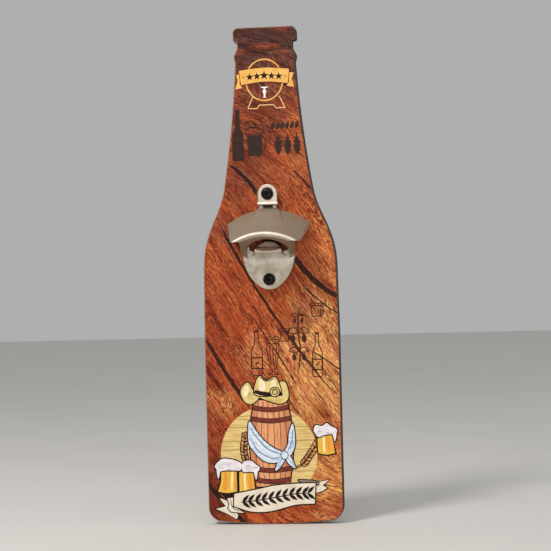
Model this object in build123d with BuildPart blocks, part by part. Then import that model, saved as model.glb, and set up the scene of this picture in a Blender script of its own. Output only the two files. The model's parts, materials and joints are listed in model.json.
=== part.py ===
"""Souvenir wall-mounted bottle opener, in millimetres.

A bottle-shaped fibreboard plaque with a printed film on its face carries a cast
opener held by two pan-head screws.  A steel keyhole plate let into its back hangs
the plaque on a wall screw.

Frame: +X to the right, +Z up, and the front faces -Y.  The back lies on the wall
plane, Y = 0.  The origin is the centre of the keyhole's round entry on that plane.
Names ending in _H are heights above the plaque's lowest point.  On the opener, U is
sideways, V is up from the lower screw and P is out of the plaque's face.
"""

import math
import os

from build123d import *

# --- Plaque -----------------------------------------------------------------------

PLAQUE_HEIGHT = 381.0  # 15 inches
BODY_HALF = 52.0
BOTTOM_RADIUS = 392.0
CORNER_RADIUS = 11.0
SIDE_TOP_H = 140.0
SHOULDER_POINTS = [(51.4, 185.0), (49.9, 211.0), (43.9, 230.0), (36.0, 249.0)]
SHOULDER_TOP = (32.2, 269.0)
NECK_MIDDLE = (26.4, 313.0)
RING_LOWER = (23.1, 352.5)
RING_CREST = (24.0, 358.8)
RING_UPPER = (21.4, 364.8)
LIP_HALF = 24.4
LIP_BOTTOM_H = 370.2
LIP_BOTTOM_RADIUS = 1.6
LIP_HOLLOW_RADIUS = 0.8
LIP_TOP_RADIUS = 4.2

CORE_THICKNESS = 11.5
FILM_THICKNESS = 0.5
EDGE_BEVEL = 0.8
BACK_BEVEL = 0.5

# --- Cast opener ------------------------------------------------------------------

LOWER_SCREW_H = 187.5
SCREW_SPACING = 65.3

PLATE_THICKNESS = 5.0
FOOT_V = -7.7
FOOT_END = (7.8, -5.0)
PLATE_SIDE = [(14.9, 2.7), (18.4, 10.5)]
PLATE_CORNER = (20.1, 17.8)
VALLEY = (16.0, 16.8)

TONGUE_FOOT_V = 10.0
TONGUE_SIDE = (9.9, 23.2)
TONGUE_TOP = 29.0
TONGUE_HOLLOW = (12.3, 19.0)
TONGUE_CORNER_RADIUS = 1.4
TOOTH_FACE = [(14.0, 5.0), (18.4, 6.3), (21.0, 8.4), (22.6, 10.2)]  # V, P
TOOTH_TIP = (23.3, 10.2)
TOOTH_BACK = (25.0, 4.6)
TOOTH_SLOPE = (29.2, 4.6)  # where the scoop's slope from the tip would end
TONGUE_WALL = 5.2
TONGUE_EDGE = 0.6
SCOOP_RADIUS = 26.0
SCOOP_DEPTH = 2.0

THROAT_HALF = 16.5  # takes a 32 mm crown cap
THROAT_TOP_V = 30.4
THROAT_ARCH_RADIUS = 24.0
THROAT_CORNER_RADIUS = 4.0
THROAT_WALL = 3.6
THROAT_FRONT = [(16.6, 2.6), (22.4, 14.4), (29.8, 25.2), (43.0, 36.0)]  # V, P
THROAT_WEB = (3.0, -2.0)  # V, P from the front of the web to its back
SILL_OUT = 3.0
SILL_EDGE = 1.0
SILL = [(18.0, 12.0), (18.0, 27.5), (14.8, 25.6), (14.2, 22.6), (8.5, 21.4), (8.5, 12.0)]

HOOD_BACK = (31.6, 53.4, 43.0)  # half width, V at the crown, V at the sides
HOOD_FRONT = (24.8, 35.4, 28.2)
HOOD_OUT = 34.0
HOOD_SECTION = 3.6
HOOD_TIP_V = 28.4
HOOD_EDGE = 1.6

ROOT_BACK = (1.0, 7.6, 54.9, 54.3, 50.0)  # P, half width, V at the crown, at the sides, underneath
ROOT_FRONT = (27.0, 15.0, 38.9, 36.3, 33.5)
ROOT_FLARE = 4.4

TAB_HALF = 7.4
TAB_THICKNESS = 4.6
TAB_BOTTOM_V = 56.6
BEAD_CENTRE = (57.8, 4.2)  # V, P
BEAD_RADIUS = 1.2
BEAD_HALF = 7.8
BEAD_END = 0.6
BRIDGE_HALF = 6.5
BRIDGE_THICKNESS = 1.8
BRIDGE_BOTTOM_V = 50.5
SLOT_HALF_LENGTH = 3.8
SLOT_BOTTOM_V = 54.7

CAST_EDGE = 0.8

# --- Opener screws ----------------------------------------------------------------

HOLE_RADIUS = 2.4
SEAT_RADIUS = 4.5
SEAT_DEPTH = 0.8
SEAT_CHAMFER = 0.5
HEAD_RADIUS = 4.3
HEAD_RIM = 0.9
HEAD_SHOULDER = (3.7, 2.1)
HEAD_HEIGHT = 2.9
SCREW_LENGTH = 13.0
CORE_RADIUS = 1.35
THREAD_RADIUS = 2.0
THREAD_ROOT = 1.1
THREAD_CREST = 0.2
THREAD_START = 1.2  # plain shank under the head
PITCH = 1.8
POINT_LENGTH = 3.0
BOARD_HOLE_DEPTH = 9.6
RECESS_SPAN = 4.4
RECESS_WIDTH = 0.95
RECESS_DEPTH = 1.9
RECESS_TAPER = 12.0
UPPER_TURN = 25.0  # where each screw happened to stop
LOWER_TURN = 70.0

# --- Keyhole plate and its screws -------------------------------------------------

HANG_H = 322.0
KEYHOLE_RADIUS = 4.6
SLOT_HALF = 2.4
SLOT_UP = 9.0
HANGER_WIDTH = 16.0
HANGER_LENGTH = 43.0
HANGER_CENTRE_Z = 4.0
HANGER_THICKNESS = 1.5
HANGER_CORNER = 3.0
HANGER_SCREW_REACH = 16.0
POCKET_DEPTH = 7.5
POCKET_HALF = 5.4
SMALL_HEAD_RADIUS = 2.7
SMALL_LENGTH = 8.0
SMALL_CORE_RADIUS = 0.95
SMALL_THREAD_RADIUS = 1.4
SMALL_THREAD_ROOT = 0.7
SMALL_THREAD_CREST = 0.15
SMALL_THREAD_START = 2.6  # below the head's top
SMALL_PITCH = 1.2
SMALL_POINT = 2.0
SMALL_RECESS_SPAN = 3.0
SMALL_RECESS_WIDTH = 0.7
SMALL_RECESS_DEPTH = 1.0

CLEARANCE = 0.03  # round a thread
FIT_GAP = 0.1  # round the let-in plate
SUNK = 0.15  # how far a thread's root lies inside its core

# --- Planes -----------------------------------------------------------------------

THICKNESS = CORE_THICKNESS + FILM_THICKNESS
face_centre = (0, -THICKNESS, LOWER_SCREW_H - HANG_H)
outline_plane = Plane(origin=(0, 0, -HANG_H), x_dir=(1, 0, 0), z_dir=(0, -1, 0))
face = Plane(origin=face_centre, x_dir=(1, 0, 0), z_dir=(0, -1, 0))  # U, V; normal along P
side = Plane(origin=face_centre, x_dir=(0, 0, 1), z_dir=(1, 0, 0))  # V, P
back = Plane(origin=(0, 0, 0), x_dir=(-1, 0, 0), z_dir=(0, 1, 0))  # looking at the back

FAR = 60.0  # reach of a cutting tool past anything it trims

# --- Plaque core ------------------------------------------------------------------

corner_x = BODY_HALF - CORNER_RADIUS
corner_h = BOTTOM_RADIUS - math.sqrt((BOTTOM_RADIUS - CORNER_RADIUS) ** 2 - corner_x**2)
bottom_share = BOTTOM_RADIUS / (BOTTOM_RADIUS - CORNER_RADIUS)
bottom_end = (corner_x * bottom_share, BOTTOM_RADIUS - (BOTTOM_RADIUS - corner_h) * bottom_share)
lip_inset = LIP_HALF - LIP_BOTTOM_RADIUS
lip_top_inset = LIP_HALF - LIP_TOP_RADIUS
hanger_screws = [
    (0, HANGER_CENTRE_Z - HANGER_SCREW_REACH),
    (0, HANGER_CENTRE_Z + HANGER_SCREW_REACH),
]
opener_screws = [(0, 0), (0, SCREW_SPACING)]
pocket_length = SLOT_UP + 2 * POCKET_HALF

with BuildPart() as board:
    with BuildSketch(outline_plane):
        with BuildLine():
            RadiusArc((0, 0), bottom_end, -BOTTOM_RADIUS)
            RadiusArc(bottom_end, (BODY_HALF, corner_h), -CORNER_RADIUS)
            body = Line((BODY_HALF, corner_h), (BODY_HALF, SIDE_TOP_H))
            neck = ThreePointArc(SHOULDER_TOP, NECK_MIDDLE, RING_LOWER)
            Spline(body @ 1, *SHOULDER_POINTS, neck @ 0, tangents=[body % 1, neck % 0])
            ring = Spline(
                neck @ 1,
                RING_CREST,
                RING_UPPER,
                (RING_UPPER[0], LIP_BOTTOM_H - LIP_HOLLOW_RADIUS),
                tangents=[neck % 1, (0, 1)],
            )
            hollow = RadiusArc(
                ring @ 1, (RING_UPPER[0] + LIP_HOLLOW_RADIUS, LIP_BOTTOM_H), LIP_HOLLOW_RADIUS
            )
            Line(hollow @ 1, (lip_inset, LIP_BOTTOM_H))
            lip_low = RadiusArc(
                (lip_inset, LIP_BOTTOM_H),
                (LIP_HALF, LIP_BOTTOM_H + LIP_BOTTOM_RADIUS),
                -LIP_BOTTOM_RADIUS,
            )
            lip_side = Line(lip_low @ 1, (LIP_HALF, PLAQUE_HEIGHT - LIP_TOP_RADIUS))
            RadiusArc(lip_side @ 1, (lip_top_inset, PLAQUE_HEIGHT), -LIP_TOP_RADIUS)
            Line((lip_top_inset, PLAQUE_HEIGHT), (0, PLAQUE_HEIGHT))
            Line((0, PLAQUE_HEIGHT), (0, 0))
        make_face()
        mirror(about=Plane.YZ)
    extrude(amount=CORE_THICKNESS)
    chamfer(faces().sort_by(Axis.Y)[0].edges(), length=EDGE_BEVEL)
    chamfer(faces().sort_by(Axis.Y)[-1].edges(), length=BACK_BEVEL)
    # Holes the opener's screws have cut
    with BuildSketch(face):
        with Locations(*opener_screws):
            Circle(THREAD_RADIUS + CLEARANCE)
    extrude(amount=-BOARD_HOLE_DEPTH, mode=Mode.SUBTRACT)
    # Recess the keyhole plate lies in, and the pocket behind it for a wall screw's head
    with BuildSketch(back):
        with Locations((0, HANGER_CENTRE_Z)):
            RectangleRounded(
                HANGER_WIDTH + 2 * FIT_GAP, HANGER_LENGTH + 2 * FIT_GAP, HANGER_CORNER + FIT_GAP
            )
    extrude(amount=-HANGER_THICKNESS, mode=Mode.SUBTRACT)
    with BuildSketch(back):
        with Locations((0, SLOT_UP / 2)):
            SlotOverall(pocket_length, 2 * POCKET_HALF, rotation=90)
    extrude(amount=-POCKET_DEPTH, mode=Mode.SUBTRACT)
    with BuildSketch(back):
        with Locations(*hanger_screws):
            Circle(SMALL_THREAD_RADIUS + CLEARANCE)
    extrude(amount=-(SMALL_LENGTH + FIT_GAP), mode=Mode.SUBTRACT)

# --- Printed film -----------------------------------------------------------------

board_front = board.faces().sort_by(Axis.Y)[0]

with BuildPart() as face_print:
    extrude(board_front, amount=FILM_THICKNESS)

# --- Opener: shapes the casting is made of ----------------------------------------

with BuildPart() as plate:
    with BuildSketch(face):
        with BuildLine():
            foot = ThreePointArc((-FOOT_END[0], FOOT_END[1]), (0, FOOT_V), FOOT_END)
            right = Spline(foot @ 1, *PLATE_SIDE, PLATE_CORNER, tangents=[foot % 1, (0.2, 1)])
            mirror(right, about=Plane.YZ)
            Polyline(
                PLATE_CORNER,
                VALLEY,
                (-VALLEY[0], VALLEY[1]),
                (-PLATE_CORNER[0], PLATE_CORNER[1]),
            )
        make_face()
    extrude(amount=PLATE_THICKNESS)
    fillet(faces().sort_by(Axis.Y)[0].edges(), radius=CAST_EDGE)

tooth_v, tooth_out = TOOTH_TIP
back_run = TOOTH_SLOPE[0] - tooth_v
back_fall = tooth_out - TOOTH_SLOPE[1]
scoop_lift = (SCOOP_RADIUS - SCOOP_DEPTH) / math.hypot(back_run, back_fall)
scoop_centre = (0, tooth_v + back_fall * scoop_lift, tooth_out + back_run * scoop_lift)
scoop = Plane(
    origin=face.from_local_coords(scoop_centre), x_dir=(1, 0, 0), z_dir=(0, back_fall, back_run)
)

with BuildSketch(face) as tongue_outline:
    with BuildLine():
        top = ThreePointArc(TONGUE_SIDE, (0, TONGUE_TOP), (-TONGUE_SIDE[0], TONGUE_SIDE[1]))
        flank = ThreePointArc(VALLEY, TONGUE_HOLLOW, TONGUE_SIDE)
        mirror(flank, about=Plane.YZ)
        Polyline(
            VALLEY,
            (VALLEY[0], TONGUE_FOOT_V),
            (-VALLEY[0], TONGUE_FOOT_V),
            (-VALLEY[0], VALLEY[1]),
        )
    make_face()
    fillet(vertices().group_by(Axis.Y)[-1], radius=TONGUE_CORNER_RADIUS)

with BuildPart() as tooth:
    with BuildSketch(side):
        with BuildLine():
            rise = Spline(*TOOTH_FACE, tangents=[(1, 0), (1, 1)])
            Polyline(
                rise @ 1,
                TOOTH_TIP,
                TOOTH_BACK,
                (TOOTH_BACK[0], 0),
                (TONGUE_FOOT_V, 0),
                (TONGUE_FOOT_V, PLATE_THICKNESS),
                rise @ 0,
            )
        make_face()
    extrude(amount=VALLEY[0], both=True)
    extrude(tongue_outline.sketch, amount=FAR, mode=Mode.INTERSECT)
    with BuildSketch(scoop):
        Circle(SCOOP_RADIUS)
    extrude(amount=FAR, both=True, mode=Mode.SUBTRACT)

# Wall behind the tooth, where the edge of a cap slips in
with BuildPart() as tongue:
    extrude(tongue_outline.sketch, amount=TONGUE_WALL)
    fillet(faces().sort_by(Axis.Y)[0].edges(), radius=TONGUE_EDGE)

hood_sections = [(0, *HOOD_BACK), (HOOD_OUT, *HOOD_FRONT)]
web_back = [(v + THROAT_WEB[0], p + THROAT_WEB[1]) for v, p in THROAT_FRONT]
throat_outer = THROAT_HALF + THROAT_WALL
arch_spring = THROAT_TOP_V - THROAT_ARCH_RADIUS
arch_end_v = arch_spring + math.sqrt(THROAT_ARCH_RADIUS**2 - THROAT_HALF**2)

with BuildPart() as throat:
    for out, half, crown_v, side_v in hood_sections:
        with BuildSketch(face.offset(out)):
            with BuildLine():
                roof = ThreePointArc(
                    (-half, side_v - HOOD_SECTION / 2),
                    (0, crown_v - HOOD_SECTION / 2),
                    (half, side_v - HOOD_SECTION / 2),
                )
                Polyline(roof @ 1, (half, 0), (-half, 0), roof @ 0)
            make_face()
    loft(ruled=True)
    with BuildSketch(side):
        with BuildLine():
            front = Spline(*THROAT_FRONT)
            Polyline(front @ 1, (THROAT_FRONT[-1][0], 0), (THROAT_FRONT[0][0], 0), front @ 0)
        make_face()
    extrude(amount=throat_outer, both=True, mode=Mode.INTERSECT)
    with BuildSketch(side):
        with BuildLine():
            behind = Spline(*web_back)
            Polyline(behind @ 1, (web_back[-1][0], 0), (0, 0), (0, web_back[0][1]), behind @ 0)
        make_face()
    extrude(amount=THROAT_HALF, both=True, mode=Mode.SUBTRACT)
    with BuildSketch(face):
        with BuildLine():
            ThreePointArc(
                (THROAT_HALF, arch_end_v), (0, THROAT_TOP_V), (-THROAT_HALF, arch_end_v)
            )
            Polyline(
                (-THROAT_HALF, arch_end_v),
                (-THROAT_HALF, 0),
                (THROAT_HALF, 0),
                (THROAT_HALF, arch_end_v),
            )
        make_face()
        fillet(vertices().group_by(Axis.Y)[-1], radius=THROAT_CORNER_RADIUS)
    extrude(amount=FAR, mode=Mode.SUBTRACT)

with BuildPart() as sill:
    with BuildSketch(face):
        with BuildLine():
            Polyline(*SILL, close=True)
        make_face()
        mirror(about=Plane.YZ)
    extrude(amount=SILL_OUT)
    fillet(faces().group_by(Axis.Y)[0].edges(), radius=SILL_EDGE)

with BuildPart() as hood:
    for out, half, crown_v, side_v in hood_sections:
        with BuildSketch(face.offset(out)):
            with BuildLine():
                top_arc = ThreePointArc((-half, side_v), (0, crown_v), (half, side_v))
                under_arc = ThreePointArc(
                    (half, side_v - HOOD_SECTION),
                    (0, crown_v - HOOD_SECTION),
                    (-half, side_v - HOOD_SECTION),
                )
                Line(top_arc @ 1, under_arc @ 0)
                Line(under_arc @ 1, top_arc @ 0)
            make_face()
    loft(ruled=True)
    side_edges = edges().filter_by(GeomType.BSPLINE).group_by(Axis.Z)[-1]
    rim_edge = edges().filter_by(GeomType.CIRCLE).group_by(Axis.Y)[0].sort_by(Axis.Z)[-1]
    fillet([*side_edges, rim_edge], radius=HOOD_EDGE)
    with BuildSketch(side):
        with Locations((HOOD_TIP_V, 0)):
            Rectangle(2 * FAR, 2 * FAR, align=(Align.MAX, Align.CENTER))
    extrude(amount=FAR, both=True, mode=Mode.SUBTRACT)

# Where the hood's crown runs up into the bridge
with BuildPart() as root:
    for out, half, crown_v, side_v, under_v in (ROOT_BACK, ROOT_FRONT):
        with BuildSketch(face.offset(out)):
            with BuildLine():
                crest = ThreePointArc((-half, side_v), (0, crown_v), (half, side_v))
                foot_u = half + ROOT_FLARE
                Polyline(crest @ 1, (foot_u, under_v), (-foot_u, under_v), crest @ 0)
            make_face()
    loft(ruled=True)

with BuildPart() as bead:
    with BuildSketch(side):
        with Locations(BEAD_CENTRE):
            Circle(BEAD_RADIUS)
    extrude(amount=BEAD_HALF, both=True)
    fillet(edges().filter_by(GeomType.CIRCLE), radius=BEAD_END)

with BuildPart() as tab:
    with BuildSketch(face):
        with Locations((0, SCREW_SPACING)):
            Circle(TAB_HALF)
        with Locations((0, TAB_BOTTOM_V)):
            Rectangle(2 * TAB_HALF, SCREW_SPACING - TAB_BOTTOM_V, align=(Align.CENTER, Align.MIN))
    extrude(amount=TAB_THICKNESS)
    fillet(faces().sort_by(Axis.Y)[0].edges(), radius=CAST_EDGE)
    with BuildSketch(face):
        with Locations((0, BRIDGE_BOTTOM_V)):
            Rectangle(
                2 * BRIDGE_HALF, SCREW_SPACING - BRIDGE_BOTTOM_V, align=(Align.CENTER, Align.MIN)
            )
    extrude(amount=BRIDGE_THICKNESS)
    with BuildSketch(face):
        with Locations((0, SLOT_BOTTOM_V)):
            Rectangle(
                2 * SLOT_HALF_LENGTH,
                TAB_BOTTOM_V - SLOT_BOTTOM_V,
                align=(Align.CENTER, Align.MIN),
            )
    extrude(amount=BRIDGE_THICKNESS, mode=Mode.SUBTRACT)

# --- Cast opener ------------------------------------------------------------------

with BuildPart() as opener_casting:
    add(plate.part)
    add(tooth.part)
    add(tongue.part)
    add(throat.part)
    add(sill.part)
    add(hood.part)
    add(root.part)
    add(tab.part)
    add(bead.part)
    with BuildSketch(face):
        with Locations(*opener_screws):
            Circle(HOLE_RADIUS)
    extrude(amount=FAR, mode=Mode.SUBTRACT)
    for seat, out in zip(opener_screws, (PLATE_THICKNESS, TAB_THICKNESS)):
        with BuildSketch(face.offset(out)):
            with Locations(seat):
                Circle(SEAT_RADIUS)
        extrude(amount=-SEAT_DEPTH, mode=Mode.SUBTRACT)
        with BuildSketch(face.offset(out)):
            with Locations(seat):
                Circle(SEAT_RADIUS + SEAT_CHAMFER)
        extrude(amount=-SEAT_CHAMFER, taper=45, mode=Mode.SUBTRACT)

# --- Opener screws ----------------------------------------------------------------
# One screw upright, its head seated at the origin, then a copy of it set in each hole.

point_start = POINT_LENGTH - SCREW_LENGTH
crest = THREAD_RADIUS - CORE_RADIUS

with BuildPart() as pan_screw:
    with BuildSketch(Plane.XZ):
        with BuildLine():
            dome = Spline(
                (HEAD_RADIUS, HEAD_RIM),
                HEAD_SHOULDER,
                (0, HEAD_HEIGHT),
                tangents=[(0, 1), (-1, 0)],
            )
            Polyline(
                dome @ 1,
                (0, -SCREW_LENGTH),
                (CORE_RADIUS, point_start),
                (CORE_RADIUS, 0),
                (HEAD_RADIUS, 0),
                dome @ 0,
            )
        make_face()
    revolve(axis=Axis.Z)
    with BuildLine():
        turns = Helix(
            PITCH, -point_start - THREAD_START, CORE_RADIUS, center=(0, 0, point_start)
        )
    with BuildSketch(Plane(origin=turns @ 0, x_dir=(1, 0, 0), z_dir=turns % 0)):
        Polygon(
            (-SUNK, THREAD_ROOT / 2),
            (-SUNK, -THREAD_ROOT / 2),
            (crest, -THREAD_CREST / 2),
            (crest, THREAD_CREST / 2),
            align=None,
        )
    sweep(path=turns, is_frenet=True)
    with BuildSketch(Plane.XY.offset(HEAD_HEIGHT)):
        Rectangle(RECESS_SPAN, RECESS_WIDTH)
        Rectangle(RECESS_WIDTH, RECESS_SPAN)
    extrude(amount=-RECESS_DEPTH, taper=RECESS_TAPER, mode=Mode.SUBTRACT)

upper_seat = face.offset(TAB_THICKNESS - SEAT_DEPTH).location
lower_seat = face.offset(PLATE_THICKNESS - SEAT_DEPTH).location

with BuildPart() as upper_screw:
    with Locations(upper_seat * Pos(0, SCREW_SPACING) * Rot(0, 0, UPPER_TURN)):
        add(pan_screw.part)

with BuildPart() as lower_screw:
    with Locations(lower_seat * Rot(0, 0, LOWER_TURN)):
        add(pan_screw.part)

# --- Keyhole plate ----------------------------------------------------------------

with BuildPart() as keyhole_plate:
    with BuildSketch(back):
        with Locations((0, HANGER_CENTRE_Z)):
            RectangleRounded(HANGER_WIDTH, HANGER_LENGTH, HANGER_CORNER)
        Circle(KEYHOLE_RADIUS, mode=Mode.SUBTRACT)
        with Locations((0, SLOT_UP / 2)):
            SlotCenterToCenter(SLOT_UP, 2 * SLOT_HALF, rotation=90, mode=Mode.SUBTRACT)
    extrude(amount=-HANGER_THICKNESS)
    with Locations(*[back.location * Pos(*spot) for spot in hanger_screws]):
        CounterSinkHole(
            SMALL_THREAD_RADIUS + FIT_GAP, SMALL_HEAD_RADIUS, HANGER_THICKNESS, 90
        )

# --- Keyhole plate's screws -------------------------------------------------------
# One screw upright, the top of its head at the origin.

small_point_start = SMALL_POINT - SMALL_LENGTH
small_crest = SMALL_THREAD_RADIUS - SMALL_CORE_RADIUS

with BuildPart() as sunk_screw:
    with BuildSketch(Plane.XZ):
        with BuildLine():
            Polyline(
                (0, 0),
                (0, -SMALL_LENGTH),
                (SMALL_CORE_RADIUS, small_point_start),
                (SMALL_CORE_RADIUS, SMALL_CORE_RADIUS - SMALL_HEAD_RADIUS),
                (SMALL_HEAD_RADIUS, 0),
                close=True,
            )
        make_face()
    revolve(axis=Axis.Z)
    with BuildLine():
        small_turns = Helix(
            SMALL_PITCH,
            -small_point_start - SMALL_THREAD_START,
            SMALL_CORE_RADIUS,
            center=(0, 0, small_point_start),
        )
    with BuildSketch(Plane(origin=small_turns @ 0, x_dir=(1, 0, 0), z_dir=small_turns % 0)):
        Polygon(
            (-SUNK, SMALL_THREAD_ROOT / 2),
            (-SUNK, -SMALL_THREAD_ROOT / 2),
            (small_crest, -SMALL_THREAD_CREST / 2),
            (small_crest, SMALL_THREAD_CREST / 2),
            align=None,
        )
    sweep(path=small_turns, is_frenet=True)
    with BuildSketch(Plane.XY):
        Rectangle(SMALL_RECESS_SPAN, SMALL_RECESS_WIDTH)
        Rectangle(SMALL_RECESS_WIDTH, SMALL_RECESS_SPAN)
    extrude(amount=-SMALL_RECESS_DEPTH, taper=RECESS_TAPER, mode=Mode.SUBTRACT)

with BuildPart() as keyhole_screw_lower:
    with Locations(back.location * Pos(*hanger_screws[0])):
        add(sunk_screw.part)

with BuildPart() as keyhole_screw_upper:
    with Locations(back.location * Pos(*hanger_screws[1]) * Rot(0, 0, UPPER_TURN)):
        add(sunk_screw.part)

# --- Export -----------------------------------------------------------------------

board.part.label = "board"
face_print.part.label = "face_print"
opener_casting.part.label = "opener_casting"
upper_screw.part.label = "upper_screw"
lower_screw.part.label = "lower_screw"
keyhole_plate.part.label = "keyhole_plate"
keyhole_screw_upper.part.label = "keyhole_screw_upper"
keyhole_screw_lower.part.label = "keyhole_screw_lower"

os.makedirs("parts", exist_ok=True)
export_step(board.part, "parts/board.step")
export_step(face_print.part, "parts/face_print.step")
export_step(opener_casting.part, "parts/opener_casting.step")
export_step(upper_screw.part, "parts/upper_screw.step")
export_step(lower_screw.part, "parts/lower_screw.step")
export_step(keyhole_plate.part, "parts/keyhole_plate.step")
export_step(keyhole_screw_upper.part, "parts/keyhole_screw_upper.step")
export_step(keyhole_screw_lower.part, "parts/keyhole_screw_lower.step")
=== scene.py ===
"""Looks of a wall bottle opener: a bottle-shaped plaque with a printed film face and a cast cap lifter."""

import json
import math

import bmesh
import bpy
from mathutils import Matrix, Vector, geometry


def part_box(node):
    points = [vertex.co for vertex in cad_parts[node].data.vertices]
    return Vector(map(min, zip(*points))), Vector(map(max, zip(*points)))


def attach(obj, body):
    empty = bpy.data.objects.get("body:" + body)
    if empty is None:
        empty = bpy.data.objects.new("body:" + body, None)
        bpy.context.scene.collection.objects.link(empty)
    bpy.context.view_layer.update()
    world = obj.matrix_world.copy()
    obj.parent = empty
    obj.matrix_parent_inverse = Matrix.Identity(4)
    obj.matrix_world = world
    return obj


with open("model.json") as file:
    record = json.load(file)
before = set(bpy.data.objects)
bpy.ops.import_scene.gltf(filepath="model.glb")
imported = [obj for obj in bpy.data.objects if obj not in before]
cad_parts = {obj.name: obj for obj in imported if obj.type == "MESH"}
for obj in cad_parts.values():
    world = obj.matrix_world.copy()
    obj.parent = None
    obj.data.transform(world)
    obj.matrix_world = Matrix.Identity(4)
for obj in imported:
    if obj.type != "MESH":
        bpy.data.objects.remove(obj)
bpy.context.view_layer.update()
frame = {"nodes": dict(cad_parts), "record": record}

MM = 0.001
BODY = "root"
EDGE_SAMPLES = 6

# The plaque's faces and its foot, in metres.
FACE_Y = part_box("face_print")[0].y
BOARD_FRONT_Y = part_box("board")[0].y
BOARD_BACK_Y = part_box("board")[1].y
BOTTOM_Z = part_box("board")[0].z

# The printed film and its artwork: lengths in millimetres, then shares.
INK_LAYER = 0.03
SUNK = 0.01
PEN = 0.75
WELD = 1e-4
TINY = 1e-6
FILM_GLOSS = 0.12
FILM_ROUGHNESS = 0.47


def place(x, h, proud=0.0):
    """Point of the frame from millimetres across, above the plaque's foot, and proud of its face."""
    return Vector((x * MM, FACE_Y - proud * MM, BOTTOM_Z + h * MM))


def rgb(red, green, blue):
    """Linear colour from the usual 0 to 255 display values."""
    values = [value / 255 for value in (red, green, blue)]
    return [v / 12.92 if v <= 0.04045 else ((v + 0.055) / 1.055) ** 2.4 for v in values] + [1.0]


# ---------------- node materials


class Graph:
    """A node material being built. Lengths are millimetres: x across, y depth, h above the foot."""

    def __init__(self, name):
        self.material = bpy.data.materials.new(name)
        self.material.use_nodes = True
        self.tree = self.material.node_tree
        self.surface = self.tree.nodes["Principled BSDF"]
        raw = self.node("TexCoord").node.outputs["Object"]
        foot = (0, 0, -BOTTOM_Z / MM)
        self.point = self.node("VectorMath", raw, (1 / MM,) * 3, foot, operation="MULTIPLY_ADD")
        self.x, self.y, self.h = self.node("SeparateXYZ", self.point).node.outputs

    def feed(self, socket, value):
        """Links a socket to another node's output, or sets its value."""
        if isinstance(value, bpy.types.NodeSocket):
            self.tree.links.new(value, socket)
        else:
            socket.default_value = value

    def node(self, kind, *values, **settings):
        """First output of a new node with its inputs filled in order."""
        node = self.tree.nodes.new("ShaderNode" + kind)
        for key, value in settings.items():
            setattr(node, key, value)
        for socket, value in zip(node.inputs, values):
            self.feed(socket, value)
        return node.outputs[0]

    def math(self, operation, *values):
        return self.node("Math", *values, operation=operation)

    def add(self, a, b):
        return self.math("ADD", a, b)

    def sub(self, a, b):
        return self.math("SUBTRACT", a, b)

    def mul(self, a, b):
        return self.math("MULTIPLY", a, b)

    def step(self, value, start, end, high=1.0, low=0.0):
        """Smooth change from low to high while the value goes from start to end."""
        return self.node("MapRange", value, start, end, low, high, interpolation_type="SMOOTHSTEP")

    def spread(self, value, span):
        """Noise moved to lie about zero, and scaled."""
        return self.mul(self.sub(value, 0.5), span)

    def most(self, *values):
        """Greatest of some values."""
        greatest = values[0]
        for value in values[1:]:
            greatest = self.math("MAXIMUM", greatest, value)
        return greatest

    def mix(self, share, first, second):
        """Colour that goes from the first to the second with a share."""
        node = self.node("Mix", share, data_type="RGBA").node
        self.feed(node.inputs[6], first)
        self.feed(node.inputs[7], second)
        return node.outputs[2]

    def noise(self, axes, sizes, detail=3.0, roughness=0.55, seed=0.0):
        """Noise from about 0.25 to 0.75 whose grains have the sizes along two or three axes."""
        x, y, *z = [self.mul(axis, 1 / size) for axis, size in zip(axes, sizes)]
        where = self.node("CombineXYZ", self.add(x, seed * 7.3), self.add(y, seed * 3.1), *z)
        return self.texture(where, 1.0, detail, roughness)

    def speckle(self, size, detail=3.0, roughness=0.6):
        """Even noise whose grains are size millimetres in every direction."""
        return self.texture(self.point, 1 / size, detail, roughness)

    def texture(self, where, scale, detail, roughness):
        """Noise at a point. The texture's fourth axis, its second input, stays at nought."""
        return self.node("TexNoise", where, 0.0, scale, detail, roughness)

    def scaled(self, colour, red, green, blue):
        """Colour with each of its parts multiplied."""
        return self.node("VectorMath", colour, (red, green, blue), operation="MULTIPLY")

    def relief(self, height, depth, strength=1.0, normal=None):
        """Normal of a surface whose height input spans depth millimetres."""
        node = self.tree.nodes.new("ShaderNodeBump")
        node.inputs["Strength"].default_value = strength
        node.inputs["Distance"].default_value = depth * MM
        self.feed(node.inputs["Height"], height)
        if normal is not None:
            self.feed(node.inputs["Normal"], normal)
        return node.outputs[0]

    def flat_normal(self):
        """Normal of the mesh itself."""
        return self.node("NewGeometry").node.outputs["True Normal"]

    def facing(self, axis):
        """How far the surface turns towards an axis: 0 for x, 1 for y, 2 for h."""
        return self.node("SeparateXYZ", self.flat_normal()).node.outputs[axis]

    def worn_edge(self, radius):
        """Share of edge at a point, and the normal of the surface with its edges rounded."""
        rounded = self.node("Bevel", radius * MM, samples=EDGE_SAMPLES)
        likeness = self.node("VectorMath", rounded, self.flat_normal(), operation="DOT_PRODUCT").node
        return self.step(likeness.outputs["Value"], 0.995, 0.8), rounded

    def finish(self, colour, roughness, normal=None, **inputs):
        """The material, with its surface's inputs fed. Other inputs go by name, with _ for a space."""
        self.feed(self.surface.inputs["Base Color"], colour)
        self.feed(self.surface.inputs["Roughness"], roughness)
        if normal is not None:
            self.feed(self.surface.inputs["Normal"], normal)
        for key, value in inputs.items():
            self.feed(self.surface.inputs[key.replace("_", " ")], value)
        return self.material


# The grain of the printed boards runs down to the right. Above UPPER_TURN's ray it swings level round
# that point, and below LOWER_TURN's ray it swings level round that one.
GRAIN_TURN = math.radians(33)
GRAIN_ACROSS = Vector((math.cos(GRAIN_TURN), math.sin(GRAIN_TURN)))
GRAIN_ALONG = Vector((GRAIN_ACROSS.y, -GRAIN_ACROSS.x))
UPPER_TURN = Vector((-75, 205))
LOWER_TURN = Vector((70, 93))

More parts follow.
